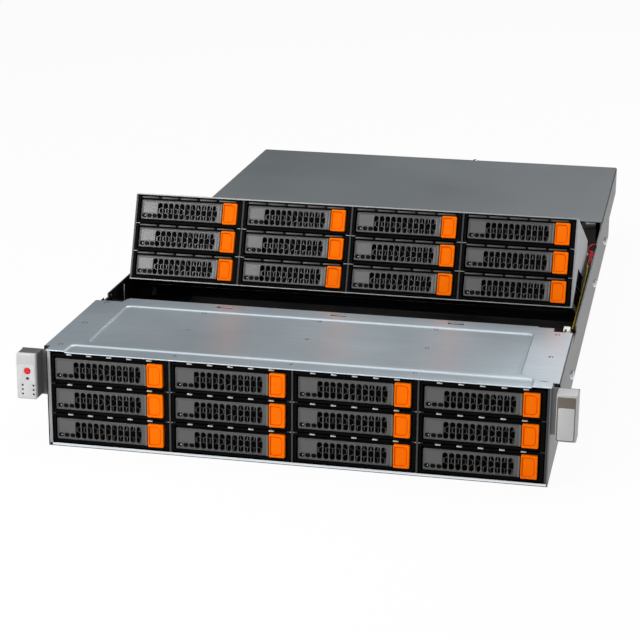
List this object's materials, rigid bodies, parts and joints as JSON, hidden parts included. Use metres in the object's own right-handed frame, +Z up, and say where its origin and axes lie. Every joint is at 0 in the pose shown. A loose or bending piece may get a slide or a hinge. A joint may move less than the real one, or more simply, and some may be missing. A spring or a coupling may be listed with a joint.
{
  "type": "rack storage server",
  "caption": "Low flat rack storage server with slide-in drive carriers across its front and a second drive bank behind that tilts up for service.",
  "frame": {"origin": "on the floor under the middle of the body, halfway along its depth", "axes": "+X to the right seen from the front, +Y to the rear, +Z up"},
  "size_m": [0.4826, 0.8796, 0.1654],
  "materials": {
    "galvanised": "zinc-coated sheet, satin",
    "cage_steel": "zinc-coated sheet, satin",
    "pin_steel": "turned, satin",
    "dark_paint": "powder coat, fine texture",
    "circuit_board": "solder mask",
    "carrier": "black frame round a cast disk",
    "lever_gray": "moulded, matt",
    "tab_orange": "moulded, satin",
    "fan_black": "moulded, matt",
    "fin_aluminium": "milled",
    "supply_case": "sheet, satin",
    "panel_gray": "moulded, matt",
    "button_red": "moulded, satin",
    "button_black": "moulded, satin",
    "wire_yellow": "insulated wire"
  },
  "bodies": {
    "chassis": {"chassis_tub": "galvanised", "front_cage": "galvanised", "front_cover": "galvanised", "front_backplane": "circuit_board", "pivot_pins": "pin_steel", "rail_studs": "pin_steel", "fan_wall": "fan_black", "mainboard": "circuit_board", "heat_sinks": "fin_aluminium", "memory_modules": "circuit_board", "expansion_cards": "circuit_board", "rear_panel": "galvanised", "left_ear": "galvanised", "control_panel": "panel_gray", "right_ear": "panel_gray", "wire_harness": "wire_yellow"},
    "mid_bank": {"mid_cage": "cage_steel", "mid_tray": "galvanised", "mid_lid": "galvanised", "mid_backplane": "circuit_board"},
    "front_carrier_r1c1": {"front_carrier_r1c1": "carrier"},
    "mid_carrier_r1c1": {"mid_carrier_r1c1": "carrier"},
    "front_lever_r1c1": {"front_lever_r1c1": "lever_gray"},
    "front_tab_r1c1": {"front_tab_r1c1": "tab_orange"},
    "front_carrier_r1c2": {"front_carrier_r1c2": "carrier"},
    "mid_carrier_r1c2": {"mid_carrier_r1c2": "carrier"},
    "front_lever_r1c2": {"front_lever_r1c2": "lever_gray"},
    "front_tab_r1c2": {"front_tab_r1c2": "tab_orange"},
    "front_carrier_r1c3": {"front_carrier_r1c3": "carrier"},
    "mid_carrier_r1c3": {"mid_carrier_r1c3": "carrier"},
    "front_lever_r1c3": {"front_lever_r1c3": "lever_gray"},
    "front_tab_r1c3": {"front_tab_r1c3": "tab_orange"},
    "front_carrier_r1c4": {"front_carrier_r1c4": "carrier"},
    "mid_carrier_r1c4": {"mid_carrier_r1c4": "carrier"},
    "front_lever_r1c4": {"front_lever_r1c4": "lever_gray"},
    "front_tab_r1c4": {"front_tab_r1c4": "tab_orange"},
    "front_carrier_r2c1": {"front_carrier_r2c1": "carrier"},
    "mid_carrier_r2c1": {"mid_carrier_r2c1": "carrier"},
    "front_carrier_r2c2": {"front_carrier_r2c2": "carrier"},
    "mid_carrier_r2c2": {"mid_carrier_r2c2": "carrier"},
    "front_carrier_r2c3": {"front_carrier_r2c3": "carrier"},
    "mid_carrier_r2c3": {"mid_carrier_r2c3": "carrier"},
    "front_carrier_r2c4": {"front_carrier_r2c4": "carrier"},
    "mid_carrier_r2c4": {"mid_carrier_r2c4": "carrier"},
    "front_carrier_r3c1": {"front_carrier_r3c1": "carrier"},
    "mid_carrier_r3c1": {"mid_carrier_r3c1": "carrier"},
    "front_carrier_r3c2": {"front_carrier_r3c2": "carrier"},
    "mid_carrier_r3c2": {"mid_carrier_r3c2": "carrier"},
    "front_carrier_r3c3": {"front_carrier_r3c3": "carrier"},
    "mid_carrier_r3c3": {"mid_carrier_r3c3": "carrier"},
    "front_carrier_r3c4": {"front_carrier_r3c4": "carrier"},
    "mid_carrier_r3c4": {"mid_carrier_r3c4": "carrier"},
    "power_button": {"power_button": "button_red"},
    "reset_button": {"reset_button": "button_black"},
    "fan_rotor_1": {"fan_rotor_1": "fan_black"},
    "fan_rotor_2": {"fan_rotor_2": "fan_black"},
    "fan_rotor_3": {"fan_rotor_3": "fan_black"},
    "psu_lower": {"psu_lower": "supply_case"},
    "psu_upper": {"psu_upper": "supply_case"},
    "rear_cover": {"rear_cover": "dark_paint"}
  },
  "joints": [
    {"name": "mid_bank_tilt", "type": "hinge", "parent": "chassis", "child": "mid_bank", "pos_m": [0, 0.0336, 0.02], "axis": [-1, 0, 0], "range_deg": [-21.2, 0]},
    {"name": "rear_cover_lift", "type": "slide", "parent": "chassis", "child": "rear_cover", "axis": [0, 0, 1], "range_m": [0, 0.12]},
    {"name": "psu_lower_slide", "type": "slide", "parent": "chassis", "child": "psu_lower", "axis": [0, 1, 0], "range_m": [0, 0.2]},
    {"name": "psu_upper_slide", "type": "slide", "parent": "chassis", "child": "psu_upper", "axis": [0, 1, 0], "range_m": [0, 0.2]},
    {"name": "fan_spin_1", "type": "hinge", "parent": "chassis", "child": "fan_rotor_1", "pos_m": [-0.15, 0.165, 0.0435], "axis": [0, 1, 0], "continuous": true},
    {"name": "fan_spin_2", "type": "hinge", "parent": "chassis", "child": "fan_rotor_2", "pos_m": [-0.042, 0.165, 0.0435], "axis": [0, 1, 0], "continuous": true},
    {"name": "fan_spin_3", "type": "hinge", "parent": "chassis", "child": "fan_rotor_3", "pos_m": [0.066, 0.165, 0.0435], "axis": [0, 1, 0], "continuous": true},
    {"name": "power_press", "type": "slide", "parent": "chassis", "child": "power_button", "axis": [0, 1, 0], "range_m": [0, 0.0012], "stiffness_N_per_m": 300},
    {"name": "reset_press", "type": "slide", "parent": "chassis", "child": "reset_button", "axis": [0, 1, 0], "range_m": [0, 0.001], "stiffness_N_per_m": 300},
    {"name": "lever_swing_r1c1", "type": "hinge", "parent": "front_carrier_r1c1", "child": "front_lever_r1c1", "pos_m": [-0.20739, -0.4198, 0.07134], "axis": [0, 0, -1], "range_deg": [0, 50]},
    {"name": "lever_swing_r1c2", "type": "hinge", "parent": "front_carrier_r1c2", "child": "front_lever_r1c2", "pos_m": [-0.09953, -0.4198, 0.07134], "axis": [0, 0, -1], "range_deg": [0, 50]},
    {"name": "lever_swing_r1c3", "type": "hinge", "parent": "front_carrier_r1c3", "child": "front_lever_r1c3", "pos_m": [0.00833, -0.4198, 0.07134], "axis": [0, 0, -1], "range_deg": [0, 50]},
    {"name": "lever_swing_r1c4", "type": "hinge", "parent": "front_carrier_r1c4", "child": "front_lever_r1c4", "pos_m": [0.11619, -0.4198, 0.07134], "axis": [0, 0, -1], "range_deg": [0, 50]},
    {"name": "tab_press_r1c1", "type": "slide", "parent": "front_carrier_r1c1", "child": "front_tab_r1c1", "axis": [0, 1, 0], "range_m": [0, 0.002], "stiffness_N_per_m": 400},
    {"name": "tab_press_r1c2", "type": "slide", "parent": "front_carrier_r1c2", "child": "front_tab_r1c2", "axis": [0, 1, 0], "range_m": [0, 0.002], "stiffness_N_per_m": 400},
    {"name": "tab_press_r1c3", "type": "slide", "parent": "front_carrier_r1c3", "child": "front_tab_r1c3", "axis": [0, 1, 0], "range_m": [0, 0.002], "stiffness_N_per_m": 400},
    {"name": "tab_press_r1c4", "type": "slide", "parent": "front_carrier_r1c4", "child": "front_tab_r1c4", "axis": [0, 1, 0], "range_m": [0, 0.002], "stiffness_N_per_m": 400},
    {"name": "front_slide_r1c1", "type": "slide", "parent": "chassis", "child": "front_carrier_r1c1", "axis": [0, -1, 0], "range_m": [0, 0.18]},
    {"name": "front_slide_r1c2", "type": "slide", "parent": "chassis", "child": "front_carrier_r1c2", "axis": [0, -1, 0], "range_m": [0, 0.18]},
    {"name": "front_slide_r1c3", "type": "slide", "parent": "chassis", "child": "front_carrier_r1c3", "axis": [0, -1, 0], "range_m": [0, 0.18]},
    {"name": "front_slide_r1c4", "type": "slide", "parent": "chassis", "child": "front_carrier_r1c4", "axis": [0, -1, 0], "range_m": [0, 0.18]},
    {"name": "mid_slide_r1c1", "type": "slide", "parent": "mid_bank", "child": "mid_carrier_r1c1", "axis": [0, -0.9323, 0.3616], "range_m": [0, 0.18]},
    {"name": "mid_slide_r1c2", "type": "slide", "parent": "mid_bank", "child": "mid_carrier_r1c2", "axis": [0, -0.9323, 0.3616], "range_m": [0, 0.18]},
    {"name": "mid_slide_r1c3", "type": "slide", "parent": "mid_bank", "child": "mid_carrier_r1c3", "axis": [0, -0.9323, 0.3616], "range_m": [0, 0.18]},
    {"name": "mid_slide_r1c4", "type": "slide", "parent": "mid_bank", "child": "mid_carrier_r1c4", "axis": [0, -0.9323, 0.3616], "range_m": [0, 0.18]},
    {"name": "front_slide_r2c1", "type": "slide", "parent": "chassis", "child": "front_carrier_r2c1", "axis": [0, -1, 0], "range_m": [0, 0.18]},
    {"name": "front_slide_r2c2", "type": "slide", "parent": "chassis", "child": "front_carrier_r2c2", "axis": [0, -1, 0], "range_m": [0, 0.18]},
    {"name": "front_slide_r2c3", "type": "slide", "parent": "chassis", "child": "front_carrier_r2c3", "axis": [0, -1, 0], "range_m": [0, 0.18]},
    {"name": "front_slide_r2c4", "type": "slide", "parent": "chassis", "child": "front_carrier_r2c4", "axis": [0, -1, 0], "range_m": [0, 0.18]},
    {"name": "front_slide_r3c1", "type": "slide", "parent": "chassis", "child": "front_carrier_r3c1", "axis": [0, -1, 0], "range_m": [0, 0.18]},
    {"name": "front_slide_r3c2", "type": "slide", "parent": "chassis", "child": "front_carrier_r3c2", "axis": [0, -1, 0], "range_m": [0, 0.18]},
    {"name": "front_slide_r3c3", "type": "slide", "parent": "chassis", "child": "front_carrier_r3c3", "axis": [0, -1, 0], "range_m": [0, 0.18]},
    {"name": "front_slide_r3c4", "type": "slide", "parent": "chassis", "child": "front_carrier_r3c4", "axis": [0, -1, 0], "range_m": [0, 0.18]},
    {"name": "mid_slide_r2c1", "type": "slide", "parent": "mid_bank", "child": "mid_carrier_r2c1", "axis": [0, -0.9323, 0.3616], "range_m": [0, 0.18]},
    {"name": "mid_slide_r2c2", "type": "slide", "parent": "mid_bank", "child": "mid_carrier_r2c2", "axis": [0, -0.9323, 0.3616], "range_m": [0, 0.18]},
    {"name": "mid_slide_r2c3", "type": "slide", "parent": "mid_bank", "child": "mid_carrier_r2c3", "axis": [0, -0.9323, 0.3616], "range_m": [0, 0.18]},
    {"name": "mid_slide_r2c4", "type": "slide", "parent": "mid_bank", "child": "mid_carrier_r2c4", "axis": [0, -0.9323, 0.3616], "range_m": [0, 0.18]},
    {"name": "mid_slide_r3c1", "type": "slide", "parent": "mid_bank", "child": "mid_carrier_r3c1", "axis": [0, -0.9323, 0.3616], "range_m": [0, 0.18]},
    {"name": "mid_slide_r3c2", "type": "slide", "parent": "mid_bank", "child": "mid_carrier_r3c2", "axis": [0, -0.9323, 0.3616], "range_m": [0, 0.18]},
    {"name": "mid_slide_r3c3", "type": "slide", "parent": "mid_bank", "child": "mid_carrier_r3c3", "axis": [0, -0.9323, 0.3616], "range_m": [0, 0.18]},
    {"name": "mid_slide_r3c4", "type": "slide", "parent": "mid_bank", "child": "mid_carrier_r3c4", "axis": [0, -0.9323, 0.3616], "range_m": [0, 0.18]}
  ]
}
